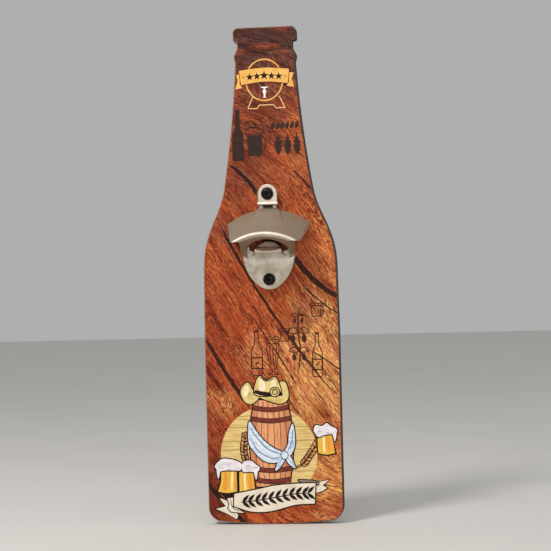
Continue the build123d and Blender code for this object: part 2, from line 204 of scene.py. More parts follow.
# Cracks between the printed boards: width, then a start, a middle and an end.
CRACKS = [
    (3.0, (-31, 277), (-19, 267.5), (-8, 251)),
    (2.1, (-41, 237), (0, 163.5), (46, 101)),
    (4.2, (17, 208), (30, 190), (57, 170)),
    (3.0, (-52, 145), (-33, 112), (-19, 90)),
    (0.9, (-14, 158), (0, 137), (21, 102)),
    (1.3, (25, 183), (34, 173.5), (57, 157)),
    (1.1, (29, 133), (37, 128), (57, 113)),
    (1.1, (11, 100), (15, 90), (21, 83)),
    (1.2, (19, 271.5), (27, 263), (34, 254)),
    (0.8, (34, 116), (39, 109), (47, 101)),
    (1.0, (33, 32), (41, 29), (51, 28)),
    (3.2, (-56, 36), (-42, 19.6), (-18, -4)),
]

# Colour fields of the wood print: centre, half size, colour and share. The two that are almost black
# are the shade in the opener's throat and in the slot under its tab.
FIELDS = [
    ((0, 402), (95, 108), (62, 34, 29), 0.95),
    ((-60, 105), (42, 135), (128, 44, 24), 0.6),
    ((-52, 20), (30, 42), (84, 24, 18), 0.8),
    ((40, 122), (44, 70), (202, 126, 72), 0.72),
    ((46, 222), (24, 48), (186, 100, 54), 0.55),
    ((-26, 262), (20, 30), (104, 40, 25), 0.7),
    ((6, 262), (44, 40), (130, 55, 30), 0.5),
    ((-14, 268), (20, 13), (108, 48, 31), 0.5),
    ((-36, 226), (13, 18), (110, 50, 35), 0.55),
    ((-27, 216), (9, 22), (120, 52, 34), 0.45),
    ((34, 199), (15, 15), (126, 52, 30), 0.5),
    ((0, 212), (17.5, 10), (40, 15, 11), 0.97),
    ((0, 243), (9, 7), (44, 26, 20), 0.95),
    ((24, 158), (12, 20), (134, 64, 40), 0.6),
    ((-12, 130), (15, 24), (192, 112, 68), 0.45),
    ((-4, 310), (36, 48), (104, 45, 29), 0.65),
    ((-38, 92), (17, 16), (192, 108, 60), 0.6),
    ((-38, 118), (14, 14), (150, 54, 28), 0.5),
    ((30, 288), (20, 34), (160, 82, 47), 0.4),
    ((44, 36), (26, 32), (206, 128, 70), 0.6),
    ((40, 7), (14, 9), (200, 118, 68), 0.55),
    ((0, 366), (15, 3.6), (150, 58, 28), 0.45),
    ((14, 379), (11, 3), (120, 46, 32), 0.6),
    ((12, 361), (13, 2.4), (134, 62, 38), 0.45),
    ((-20, 371), (8, 3), (112, 50, 32), 0.25),
    ((18, 350), (8, 15), (82, 43, 37), 0.75),
    ((-22, 325), (7, 9), (130, 54, 33), 0.4),
    ((22, 308), (10, 8), (176, 82, 40), 0.5),
]


def along_and_across(g, x, h, side=1):
    """Coordinates along and across the straight grain, turned round for a side of -1."""
    along = g.add(g.mul(x, side * GRAIN_ALONG.x), g.mul(h, side * GRAIN_ALONG.y))
    across = g.add(g.mul(x, side * GRAIN_ACROSS.x), g.mul(h, side * GRAIN_ACROSS.y))
    return along, across


def swing(g, centre, side):
    """Grain coordinates added past a turning centre, for the side (1 or -1) where the board lies."""
    along, across = along_and_across(g, g.sub(g.x, centre.x), g.sub(g.h, centre.y), side)
    radius = g.math("SQRT", g.add(g.mul(across, across), g.mul(along, along)))
    angle = g.math("ARCTAN2", g.mul(along, -1.0), across)
    past = g.math("GREATER_THAN", angle, 0.0)
    more_across = g.mul(past, g.mul(g.sub(radius, across), side))
    more_along = g.mul(past, g.mul(g.sub(g.mul(g.mul(radius, angle), -1.0), along), side))
    return more_along, more_across


def crack_mask(g, along, across, wobble, crack):
    """Shares of one crack and its pale lips: a parabola across the straight grain, wide in its middle."""
    width, *points = crack
    spots = [(GRAIN_ALONG.dot(Vector(p)), GRAIN_ACROSS.dot(Vector(p))) for p in points]
    (a0, c0), (a1, c1), (a2, c2) = spots
    slope = (c2 - c0) / (a2 - a0)
    bend = ((c1 - c0) / (a1 - a0) - slope) / (a1 - a2)
    from_start = g.sub(along, a0)
    line = g.add(g.mul(g.add(g.mul(g.sub(along, a2), bend), slope), from_start), c0)
    away = g.math("ABSOLUTE", g.add(g.sub(across, line), wobble))
    share = g.mul(from_start, 1 / (a2 - a0))
    fullness = g.mul(g.step(share, -0.02, 0.12), g.step(share, 1.04, 0.86))
    past = g.sub(away, g.mul(fullness, width / 2))
    return g.mul(g.step(past, 0.35, -0.25), fullness), g.mul(g.step(past, 1.7, 0.5), fullness)


def wood_ground(g, along, across):
    """Colour of the boards without their figure: red-brown, and the colour fields with ragged edges."""
    ground = rgb(156, 63, 29)
    ragged = g.spread(g.noise((along, across), (26, 9), seed=6), 1.6)
    for (cx, ch), (rx, rh), colour, share in FIELDS:
        dx = g.mul(g.sub(g.x, cx), 1 / rx)
        dh = g.mul(g.sub(g.h, ch), 1 / rh)
        reach = g.add(g.math("SQRT", g.add(g.mul(dx, dx), g.mul(dh, dh))), ragged)
        ground = g.mix(g.step(reach, 1.05, 0.35, share), ground, rgb(*colour))
    return ground


def wood_figure(g, layer, ground, fibre, fleck):
    """Bands, fibres, pale streaks and dark rings over the ground, and the ground with its drift in hue."""
    blotch = layer(45, 14, 3.0, 0.5, 1)
    band = layer(85, 3.0, 4.0, 0.6, 2)
    tone = 0.5
    for value, weight in ((blotch, 1.0), (band, 1.6), (fibre, 3.0), (fleck, 1.3)):
        tone = g.add(tone, g.spread(value, weight))
    hue = layer(15, 5, 3.0, 0.6, 17)
    ground = g.mix(g.step(hue, 0.52, 0.68, 0.5), ground, g.scaled(ground, 1.1, 1.5, 0.95))
    ground = g.mix(g.step(hue, 0.48, 0.32, 0.5), ground, g.scaled(ground, 1.0, 0.66, 1.0))
    colour = g.mix(g.step(tone, 0.0, 0.55), g.scaled(ground, 0.34, 0.17, 0.12), ground)
    colour = g.mix(g.step(tone, 0.45, 1.1), colour, g.scaled(ground, 1.6, 2.2, 2.2))
    hair = g.step(layer(34, 1.1, 2.0, 0.6, 15), 0.43, 0.33, 0.7)
    colour = g.mix(hair, colour, g.scaled(ground, 0.2, 0.08, 0.06))
    streak = g.most(g.step(fleck, 0.5, 0.64), g.step(layer(11, 0.8, 2.0, 0.6, 8), 0.57, 0.67))
    gate = g.step(layer(24, 8, 2.0, 0.5, 9), 0.34, 0.54)
    colour = g.mix(g.mul(streak, gate), colour, g.scaled(ground, 2.0, 3.7, 4.4))
    rings = g.math("FRACT", g.mul(layer(120, 10, 2.0, 0.5, 11), 11.0))
    line = g.step(g.math("ABSOLUTE", g.sub(rings, 0.5)), 0.1, 0.0)
    line = g.mul(line, g.step(layer(30, 6, 2.0, 0.5, 12), 0.46, 0.62, 0.7))
    return g.mix(line, colour, g.scaled(ground, 0.16, 0.16, 0.24)), ground


def wood_cracks(g, along, across, colour, ground, fibre, fleck):
    """Colour with the cracks let in: almost black inside, with a broken pale lip."""
    wobble = g.spread(g.noise((along, across), (7, 4), seed=14), 2.6)
    cracked, lipped = 0.0, 0.0
    for crack in CRACKS:
        share, lip = crack_mask(g, along, across, wobble, crack)
        cracked = g.most(cracked, share)
        lipped = g.most(lipped, lip)
    lipped = g.mul(lipped, g.step(fleck, 0.44, 0.6, 0.6))
    colour = g.mix(lipped, colour, g.scaled(ground, 2.1, 3.3, 3.8))
    inside = g.mix(g.step(fibre, 0.4, 0.65), rgb(24, 13, 11), rgb(50, 28, 22))
    return g.mix(g.mul(cracked, 0.94), colour, inside)


def wood_print():
    """Film printed as weathered red-brown boards, seen at the scale of their fibres."""
    g = Graph("wood_print")
    straight_along, straight_across = along_and_across(g, g.x, g.h)
    upper = swing(g, UPPER_TURN, 1)
    lower = swing(g, LOWER_TURN, -1)
    along = g.add(straight_along, g.add(upper[0], lower[0]))
    bent = g.add(straight_across, g.add(upper[1], lower[1]))
    wander = g.noise((along, bent), (52, 30), detail=2.0)
    across = g.add(bent, g.spread(wander, 13.0))

    def layer(length, width, detail, roughness, number):
        return g.noise((along, across), (length, width), detail, roughness, number)

    fibre = layer(20, 0.8, 4.0, 0.7, 3)
    fleck = layer(4.0, 0.8, 3.0, 0.75, 4)
    colour, ground = wood_figure(g, layer, wood_ground(g, along, across), fibre, fleck)
    colour = wood_cracks(g, straight_along, straight_across, colour, ground, fibre, fleck)
    peel = g.speckle(1.1, 2.0)
    roughness = g.add(g.spread(peel, 0.18), g.add(0.52, g.spread(fibre, 0.2)))
    height = g.add(g.mul(peel, 0.4), g.mul(fibre, 0.6))
    return g.finish(colour, roughness, g.relief(height, 0.05, 0.35), Specular_IOR_Level=FILM_GLOSS)


def on_film(g, colour, height):
    """Ends a printed colour with the film's gloss and fine peel."""
    roughness = g.add(g.spread(g.speckle(1.1, 2.0), 0.16), FILM_ROUGHNESS)
    return g.finish(colour, roughness, g.relief(height, 0.03, 0.25), Specular_IOR_Level=FILM_GLOSS)


def ink(name, colour, shadow, size=2.4, stretch=(1, 1)):
    """Printed colour that drifts to its shadow colour in soft patches, with fine dots."""
    g = Graph(name)
    drift = g.noise((g.x, g.h), (size * stretch[0], size * stretch[1]), detail=4.0)
    dots = g.speckle(0.45, 1.0)
    mixed = g.mix(g.step(drift, 0.36, 0.72), rgb(*colour), rgb(*shadow))
    mixed = g.mix(g.step(dots, 0.5, 0.75, 0.14), mixed, rgb(*shadow))
    return on_film(g, mixed, dots)


def plank_ink():
    """Pale yellow boards laid level, with saw lines, for the disc behind the cask."""
    g = Graph("ink_planks")
    streak = g.noise((g.x, g.h), (16, 1.1), 4.0, 0.6)
    broad = g.noise((g.x, g.h), (22, 7), detail=2.0, seed=2)
    colour = g.mix(g.step(streak, 0.4, 0.66), rgb(236, 208, 142), rgb(204, 168, 98))
    colour = g.mix(g.step(broad, 0.45, 0.7, 0.5), colour, rgb(218, 184, 110))
    wave = g.spread(g.noise((g.x, g.h), (9, 30), detail=2.0, seed=4), 2.2)
    for seam in (40.5, 57.5, 64.0, 74.5, 83.0):
        away = g.math("ABSOLUTE", g.add(g.sub(g.h, seam), wave))
        colour = g.mix(g.step(away, 0.55, 0.1, 0.8), colour, rgb(150, 124, 62))
    return on_film(g, colour, streak)


def stave_ink():
    """Tan staves of the printed cask, lit from the left and grained upright."""
    g = Graph("ink_staves")
    grain = g.noise((g.x, g.h), (0.9, 15), 4.0, 0.6)
    colour = g.mix(g.step(grain, 0.38, 0.68), rgb(240, 176, 124), rgb(206, 128, 84))
    colour = g.mix(g.step(g.x, 1.0, 12.5, 0.55), colour, rgb(168, 84, 56))
    colour = g.mix(g.step(g.x, -10.0, -15.0, 0.5), colour, rgb(176, 92, 62))
    return on_film(g, colour, grain)


# The opener's heights above the plaque's foot, worked out from its lower screw's axis, and the depths
# of its front and of its lip, in millimetres.
SCREW_H = (sum(corner.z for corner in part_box("lower_screw")) / 2 - BOTTOM_Z) / MM
HOOD_FRONT_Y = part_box("opener_casting")[0].y / MM
RIM_CROWN_H = SCREW_H + 35.4
RIM_RADIUS = 46.3
LIP_H = SCREW_H + 23.3
LIP_Y = -19.5
THROAT_FOOT_H = SCREW_H + 21.3
THROAT_TOP_H = SCREW_H + 31.0
TAB_FOOT_H = SCREW_H + 56.6


def between(g, value, low, high, soft=1.0):
    """Share of being between two bounds, with soft ends inside them."""
    return g.mul(g.step(value, low, low + soft), g.step(value, high, high - soft))


def nickel_plating(g, cloud, top_shade_and_matt):
    """Colour of the plating: clouded, with bloom and faint pits, and greyer and darker on upward faces, a
    painted shade.
    """
    colour = g.mix(g.step(cloud, 0.38, 0.64), rgb(196, 187, 173), rgb(172, 160, 143))
    bloom = g.speckle(2.2, 3.0, 0.7)
    colour = g.mix(g.step(bloom, 0.42, 0.3, 0.45), colour, rgb(190, 176, 176))
    colour = g.mix(g.step(bloom, 0.56, 0.7, 0.45), colour, rgb(150, 140, 108))
    pits = g.step(g.speckle(1.3, 2.0), 0.34, 0.26)
    colour = g.mix(g.mul(pits, 0.4), colour, rgb(112, 98, 84))
    # Painted shade: upward faces go greyer and darker.
    return g.mix(g.mul(top_shade_and_matt, 0.75), colour, rgb(158, 142, 120))


def nickel_wear_and_highlights(g, edge, wide, rim_top_highlight):
    """Share of bright polish: worn edges, and painted highlights on the top of the hood's rim, the tooth's
    lip, the whole tab, its bead and the turned faces round the plate and tab.
    """
    lip = g.mul(g.step(wide, 10.5, 9.5), g.step(g.y, LIP_Y + 1.0, LIP_Y))
    lip = g.mul(between(g, g.h, LIP_H - 3.2, LIP_H + 1.4), lip)
    tab = g.step(g.h, TAB_FOOT_H - 0.5, TAB_FOOT_H + 0.5)
    bead = between(g, g.h, TAB_FOOT_H - 0.5, TAB_FOOT_H + 2.9)
    flat_parts = g.most(tab, g.step(g.h, LIP_H - 5.5, LIP_H - 6.5))
    fillet_highlight = g.mul(flat_parts, between(g, g.facing(1), -0.92, -0.2, 0.15))
    return g.most(g.mul(edge, 0.35), g.mul(lip, 0.7), rim_top_highlight,
                  g.mul(tab, 0.2), g.mul(bead, 0.7), g.mul(fillet_highlight, 0.9))


def nickel_throat_shade(g, wide, upward):
    """Share of painted shade in the throat, behind the tooth and on its shelf."""
    throat = g.mul(between(g, g.h, THROAT_FOOT_H - 1.0, THROAT_TOP_H + 1.0), g.step(wide, 12.5, 11.5))
    return g.mul(throat, g.most(g.step(g.y, LIP_Y, LIP_Y + 1.0), g.step(upward, 0.3, 0.6)))


def nickel_under_hood_shade(g, wide, upward):
    """Share of painted shade on the surfaces that look down from under the hood, clear of the tooth."""
    below = g.mul(g.step(upward, -0.3, -0.65), g.step(g.y, HOOD_FRONT_Y + 2.2, HOOD_FRONT_Y + 3.4))
    off_tooth = g.most(g.step(wide, 9.8, 10.8), g.step(g.h, LIP_H + 0.5, LIP_H + 1.5))
    return g.mul(g.mul(below, g.step(g.h, LIP_H - 6.0, LIP_H - 4.0)), off_tooth)


def cast_nickel():
    """Satin nickel over a casting: rougher and painted darker on top, worn at its edges, with painted
    highlights on the hood's rim, the lip, the tab and its bead, and painted shade in the throat and under the
    hood.
    """
    g = Graph("cast_nickel")
    edge, rounded = g.worn_edge(0.5)
    wide = g.math("ABSOLUTE", g.x)
    upward = g.facing(2)
    swell = g.speckle(7.0, 2.0)
    grit = g.speckle(0.5, 4.0, 0.7)
    cloud = g.speckle(9.0, 4.0, 0.6)
    # Upward faces: painted shade in the colour, and rougher.
    top_shade_and_matt = g.step(upward, 0.2, 0.7)
    colour = nickel_plating(g, cloud, top_shade_and_matt)

    rim_face = g.step(g.y, HOOD_FRONT_Y + 1.4, HOOD_FRONT_Y + 0.6)
    down_rim = g.sub(g.sub(RIM_CROWN_H, g.mul(g.mul(g.x, g.x), 0.5 / RIM_RADIUS)), g.h)
    # Painted shade on the lower part of the hood's rim face, and a painted highlight along its top.
    colour = g.mix(g.mul(rim_face, g.step(down_rim, 1.2, 2.2, 0.75)), colour, rgb(136, 118, 92))
    wear_and_highlight = nickel_wear_and_highlights(g, edge, wide, g.mul(rim_face, g.step(down_rim, 1.9, 1.2, 0.5)))
    # Worn edges, and painted highlights on the rim, lip, tab, bead and the turned faces round the plate and
    # tab.
    colour = g.mix(wear_and_highlight, colour, rgb(246, 238, 220))

    throat_shade = nickel_throat_shade(g, wide, upward)
    # Painted shade in the throat: darker brown, a painted shadow with a painted reflection of the wood's
    # brown.
    throat_shade_colour = g.mix(g.step(cloud, 0.4, 0.6), rgb(170, 134, 104), rgb(140, 104, 78))
    colour = g.mix(g.mul(throat_shade, 0.85), colour, throat_shade_colour)
    # Painted shade under the hood: dark brown where the surfaces look down.
    under_hood_shade = g.mul(nickel_under_hood_shade(g, wide, upward), 0.8)
    colour = g.mix(under_hood_shade, colour, rgb(112, 84, 52))
    # Less metallic where shade is painted in the throat and under the hood.
    painted_shade = g.most(throat_shade, under_hood_shade)

    roughness = g.add(g.spread(grit, 0.3), g.add(0.5, g.spread(cloud, 0.25)))
    roughness = g.sub(g.add(roughness, g.mul(top_shade_and_matt, 0.16)), g.mul(wear_and_highlight, 0.14))
    height = g.add(g.mul(swell, 0.7), g.mul(grit, 0.12))
    metallic = g.sub(0.74, g.mul(painted_shade, 0.6))
    return g.finish(colour, roughness, g.relief(height, 0.35, 0.5, rounded), Metallic=metallic)


def black_oxide():
    """Screws blackened with oxide, bare at the rubbed rims of head and recess."""
    g = Graph("black_oxide")
    edge, rounded = g.worn_edge(0.25)
    grit = g.speckle(0.35, 3.0)
    colour = g.mix(g.step(g.speckle(1.6, 3.0), 0.4, 0.7), rgb(20, 18, 17), rgb(34, 30, 28))
    colour = g.mix(g.mul(edge, 0.5), colour, rgb(92, 84, 76))
    roughness = g.add(g.spread(grit, 0.35), 0.36)
    return g.finish(colour, roughness, g.relief(grit, 0.05, 0.5, rounded), Metallic=0.75)


def bright_zinc():
    """Zinc-plated hanger: cool pressed steel with rolling lines and rubbed rims."""
    g = Graph("bright_zinc")
    edge, rounded = g.worn_edge(0.2)
    rolled = g.noise((g.x, g.h, g.y), (0.18, 9, 0.5), 3.0, 0.6)
    bloom = g.speckle(3.5, 3.0)
    colour = g.mix(g.step(bloom, 0.4, 0.66), rgb(204, 208, 212), rgb(176, 180, 186))
    colour = g.mix(g.mul(edge, 0.6), colour, rgb(236, 238, 240))
    roughness = g.add(g.spread(rolled, 0.3), 0.3)
    return g.finish(colour, roughness, g.relief(rolled, 0.02, 0.4, rounded), Metallic=1.0)


def fibreboard():
    """Board of pressed fibres: raw behind, stained dark round the sawn edge, bare on the front bevel, which
    is painted lighter where it faces left and darker where it faces right.
    """
    g = Graph("fibreboard")
    fibre = g.noise((g.x, g.h, g.y), (1.6, 0.8, 0.5), 4.0, 0.75)
    saw = g.noise((g.x, g.h, g.y), (6, 6, 0.25), 2.0, 0.5, 3)
    mottle = g.speckle(9.0, 3.0)
    raw = g.mix(g.step(fibre, 0.35, 0.68), rgb(178, 142, 100), rgb(142, 106, 70))
    raw = g.mix(g.step(mottle, 0.4, 0.7, 0.5), raw, rgb(160, 122, 84))
    raw = g.mix(g.step(g.speckle(0.45, 2.0), 0.56, 0.72, 0.5), raw, rgb(112, 82, 54))
    stained = g.mix(g.step(fibre, 0.38, 0.7), rgb(20, 14, 12), rgb(40, 27, 22))
    stained = g.mix(g.step(saw, 0.52, 0.7, 0.5), stained, rgb(58, 40, 31))
    bare = g.mix(g.step(fibre, 0.36, 0.66), rgb(178, 150, 128), rgb(132, 98, 78))
    back = g.step(g.y, BOARD_BACK_Y / MM - 0.75, BOARD_BACK_Y / MM - 0.45)
    ragged = g.add(g.y, g.spread(saw, 0.5))
    bevel = g.step(ragged, BOARD_FRONT_Y / MM + 0.95, BOARD_FRONT_Y / MM + 0.7)
    # Painted light on the bare bevel: full where it faces left, mostly stained dark where it faces right.
    bevel_side_light = g.step(g.facing(0), 0.25, -0.1, 1.0, 0.3)
    colour = g.mix(back, g.mix(g.mul(bevel, bevel_side_light), stained, bare), raw)
    roughness = g.add(g.spread(fibre, 0.3), 0.72)
    height = g.add(g.mul(fibre, 0.6), g.mul(saw, 0.4))
    height = g.mul(height, g.sub(1.0, g.mul(back, 0.75)))
    return g.finish(colour, roughness, g.relief(height, 0.12, 0.6), Specular_IOR_Level=0.3)


def studio_floor():
    """Pale matt floor with a faint drift in tone."""
    g = Graph("studio_floor")
    soft = g.speckle(160.0, 2.0)
    colour = g.mix(g.step(soft, 0.3, 0.7), rgb(224, 222, 218), rgb(221, 219, 215))
    return g.finish(colour, 0.85)


# ---------------- printed artwork


def curve(points, closed=False, steps=6):
    """Smooth run of points through the given ones."""
    count = len(points)
    spans = count if closed else count - 1
    run = []
    for i in range(spans):
        if closed:
            p0, p1, p2, p3 = (Vector(points[(i + k) % count]) for k in (-1, 0, 1, 2))
        else:
            p0, p1, p2, p3 = (Vector(points[min(max(i + k, 0), count - 1)]) for k in (-1, 0, 1, 2))
        for step in range(steps):
            t = step / steps
            run.append(0.5 * (2 * p1 + (p2 - p0) * t + (2 * p0 - 5 * p1 + 4 * p2 - p3) * t * t
                              + (3 * p1 - p0 - 3 * p2 + p3) * t ** 3))
    if not closed:
        run.append(Vector(points[-1]))
    return run


def blob(*points):
    """Closed smooth outline."""
    return curve(points, closed=True)


def patch(*points):
    """Closed outline with straight sides."""
    return [Vector(p) for p in points]


def oval(x, h, half_wide, half_tall, sides=28):
    """Ellipse."""
    angles = [2 * math.pi * i / sides for i in range(sides)]
    return [Vector((x + half_wide * math.cos(a), h + half_tall * math.sin(a))) for a in angles]


def fitted(x, h, half_wide, tall, points):
    """Points given in shares of a half width and a height, over a foot at x, h."""
    return [(x + u * half_wide, h + v * tall) for u, v in points]


def mirrored(x, h, half_wide, tall, side):
    """Closed even outline from its right side, given from the top down in such shares."""
    other = [(-u, v) for u, v in side]
    return patch(*fitted(x, h, half_wide, tall, other), *fitted(x, h, half_wide, tall, side[::-1]))


def kernel(x, h, length, width, turn):
    """Grain of barley with pointed ends; its foot is at x, h and it leans turn degrees from upright."""
    up = Vector((math.sin(math.radians(turn)), math.cos(math.radians(turn))))
    side = Vector((up.y, -up.x))
    foot = Vector((x, h))

    def edge(share, way):
        return foot + up * length * share + side * way * width / 2 * math.sin(math.pi * share ** 0.8)

    return [edge(t, 1) for t in (0, 0.2, 0.4, 0.6, 0.8, 1)] + [edge(t, -1) for t in (0.8, 0.6, 0.4, 0.2)]


def star(x, h, radius):
    """Plain five-pointed star."""
    run = []
    for i in range(10):
        a = math.radians(90 + 36 * i)
        reach = radius if i % 2 == 0 else radius * 0.42
        run.append(Vector((x + reach * math.cos(a), h + reach * math.sin(a))))
    return run


def grow(outline, distance):
    """Outline moved outwards by a distance, with its corners kept short."""
    if sum(a.x * b.y - b.x * a.y for a, b in zip(outline, outline[1:] + outline[:1])) > 0:
        distance = -distance
    run = []
    for before, here, after in zip(outline[-1:] + outline[:-1], outline, outline[1:] + outline[:1]):
        if (here - before).length < TINY or (after - here).length < TINY:
            continue
        first, second = (here - before).normalized(), (after - here).normalized()
        normal = Vector((-(first + second).y, (first + second).x))
        if normal.length < TINY:
            normal = Vector((-first.y, first.x))
        normal.normalize()
        stretch = 1 / max(normal.dot(Vector((-first.y, first.x))), 0.45)
        run.append(here + normal * distance * stretch)
    return run


def stroke(points, width=PEN, ends=0.35):
    """Pen line of a width that narrows to a share of it at both ends."""
    run = curve(points) if len(points) > 2 else [Vector(p) for p in points]
    left, right = [], []
    for i, here in enumerate(run):
        way = (run[min(i + 1, len(run) - 1)] - run[max(i - 1, 0)]).normalized()
        share = min(i, len(run) - 1 - i) / max(len(run) - 1, 1) * 2
        half = width / 2 * (ends + (1 - ends) * min(1.0, share * 2.5))
        left.append(here + Vector((-way.y, way.x)) * half)
        right.append(here - Vector((-way.y, way.x)) * half)
    return left + right[::-1]


def rim(outline, width=PEN):
    """Pen line that follows a closed outline, as a shape with a hole."""
    return [grow(outline, width / 2), grow(outline, -width / 2)]


def hoop(x, h, half_wide, half_tall, width):
    """Ring as an outline with a hole."""
    return rim(oval(x, h, half_wide, half_tall, sides=56), width)


def lean(start, end):
    """Degrees by which the way between two points leans to the right of upright."""
    way = end - start
    return math.degrees(math.atan2(way.x, way.y))


def barley(points, rows, length, width):
    """Stalk through the points that ends in an ear: outlines of the stalk and of its kernels."""
    run = curve(points, steps=10)
    shapes = [stroke(points, width * 0.35, ends=0.8)]
    start = len(run) // 3
    for i in range(rows):
        spot = start + (len(run) - 2 - start) * i // (rows - 1)
        for side in (-1, 1):
            turn = lean(run[spot], run[spot + 1]) + side * 27
            shapes.append(kernel(run[spot].x, run[spot].y, length, width, turn))
    shapes.append(kernel(run[-1].x, run[-1].y, length, width, lean(run[-2], run[-1])))
    return shapes


def hop_cone(x, h, wide, tall):
    """Hop cone that hangs from x, h, as one outline with a scalloped edge and a pointed tip."""
    scales = [(0.5, 0.04), (0.34, 0.2), (0.92, 0.24), (0.62, 0.42), (1.0, 0.46), (0.62, 0.64), (0.84, 0.68),
              (0.4, 0.86)]
    side = [Vector((x + wide / 2 * share, h - tall * drop)) for share, drop in scales]
    other = [Vector((2 * x - p.x, p.y)) for p in side]
    return side + [Vector((x, h - tall))] + other[::-1] + [Vector((x, h))]


def picture(name, parts, shift=0.0):
    """Printed motif: every part is a list of shapes, a height in ink layers and an ink.

    A shape is an outline, or a list of an outline and its hole. The shapes of a part melt into one
    closed slab. A shift in millimetres moves the whole motif to the right.
    """
    mesh = bpy.data.meshes.new(name)
    work = bmesh.new()
    for shapes, layer, colour in parts:
        if colour.name not in mesh.materials:
            mesh.materials.append(colour)
        add_slab(work, shapes, layer * INK_LAYER, shift, mesh.materials.find(colour.name))
    bmesh.ops.recalc_face_normals(work, faces=work.faces)
    work.to_mesh(mesh)
    work.free()
    piece = bpy.data.objects.new(name, mesh)
    bpy.context.scene.collection.objects.link(piece)
    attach(piece, BODY)


def add_slab(work, shapes, proud, shift, slot):
    """Adds the union of the shapes to a mesh as a slab that stands proud of the film."""
    points, loops, owners = [], [], []
    for number, shape in enumerate(shapes):
        for depth, loop in enumerate(shape if isinstance(shape[0], list) else [shape]):
            turning = sum(a.x * b.y - b.x * a.y for a, b in zip(loop, loop[1:] + loop[:1]))
            ordered = loop if turning > 0 else loop[::-1]
            loops.append(list(range(len(points), len(points) + len(ordered))))
            points += ordered
            owners.append((number, depth))
    spots, _, triangles, _, _, sources = geometry.delaunay_2d_cdt(points, [], loops, 1, WELD)
    kept = []
    for triangle, source in zip(triangles, sources):
        inside = {owners[i] for i in source}
        if any(depth == 0 and (number, 1) not in inside for number, depth in inside):
            kept.append(triangle)
    used = sorted({i for triangle in kept for i in triangle})
    front = {i: work.verts.new(place(spots[i].x + shift, spots[i].y, proud)) for i in used}
    back = {i: work.verts.new(place(spots[i].x + shift, spots[i].y, -SUNK)) for i in used}
    edges = [edge for a, b, c in kept for edge in ((a, b), (b, c), (c, a))]
    rims = set(edges) - {(end, start) for start, end in edges}
    faces = [(front[a], front[b], front[c]) for a, b, c in kept]
    faces += [(back[c], back[b], back[a]) for a, b, c in kept]
    faces += [(front[start], back[start], back[end], front[end]) for start, end in sorted(rims)]
    for corners in faces:
        work.faces.new(corners).material_index = slot


OUTLINE = ink("ink_outline", (40, 22, 19), (28, 16, 15), 3.0)
SKETCH = ink("ink_sketch", (72, 32, 24), (54, 25, 20), 2.0)
SILHOUETTE = ink("ink_silhouette", (60, 40, 33), (44, 31, 28), 3.0)
GOLD = ink("ink_gold", (240, 188, 104), (228, 166, 78), 6.0)
PALE_LINE = ink("ink_pale_line", (242, 196, 138), (222, 170, 114), 5.0)
FAINT_LINE = ink("ink_faint_line", (164, 98, 74), (136, 76, 60), 3.0)
WHITE = ink("ink_white", (246, 242, 238), (224, 220, 228), 5.0)
FOAM = ink("ink_foam", (246, 240, 238), (214, 202, 212), 4.0, (1.4, 0.8))
BEER = ink("ink_beer", (238, 194, 82), (226, 168, 60), 3.0, (0.5, 3.0))
AMBER = ink("ink_amber", (238, 166, 64), (226, 146, 50), 3.0, (0.5, 3.0))
GLINT = ink("ink_glint", (254, 240, 196), (250, 226, 150), 3.0, (0.5, 3.0))
HAT = ink("ink_hat", (232, 209, 140), (200, 168, 94), 6.0)
HAT_LIGHT = ink("ink_hat_light", (250, 238, 204), (240, 220, 168), 5.0)
CLOTH = ink("ink_cloth", (226, 236, 246), (176, 196, 220), 4.0, (1.6, 0.8))
CLOTH_FOLD = ink("ink_cloth_fold", (128, 150, 184), (98, 116, 152), 2.0)
HOOP = ink("ink_hoop", (128, 58, 46), (92, 38, 34), 2.5, (2.5, 0.6))
BARLEY = ink("ink_barley", (236, 172, 104), (214, 140, 76), 2.0)
PAPER = ink("ink_paper", (240, 230, 210), (220, 206, 182), 9.0)
PAPER_SHADE = ink("ink_paper_shade", (150, 138, 124), (120, 108, 98), 4.0)
PLANKS = plank_ink()
STAVES = stave_ink()


def outlined(shapes, width):
    """The shapes grown by the width of their dark outline."""
    return [grow(shape, width) for shape in shapes]


def edged(shapes, width, under, layer, colour):
    """Two parts of a picture: the shapes' dark outline on its layer, and over it the shapes."""
    return (outlined(shapes, width), under, OUTLINE), (shapes, layer, colour)


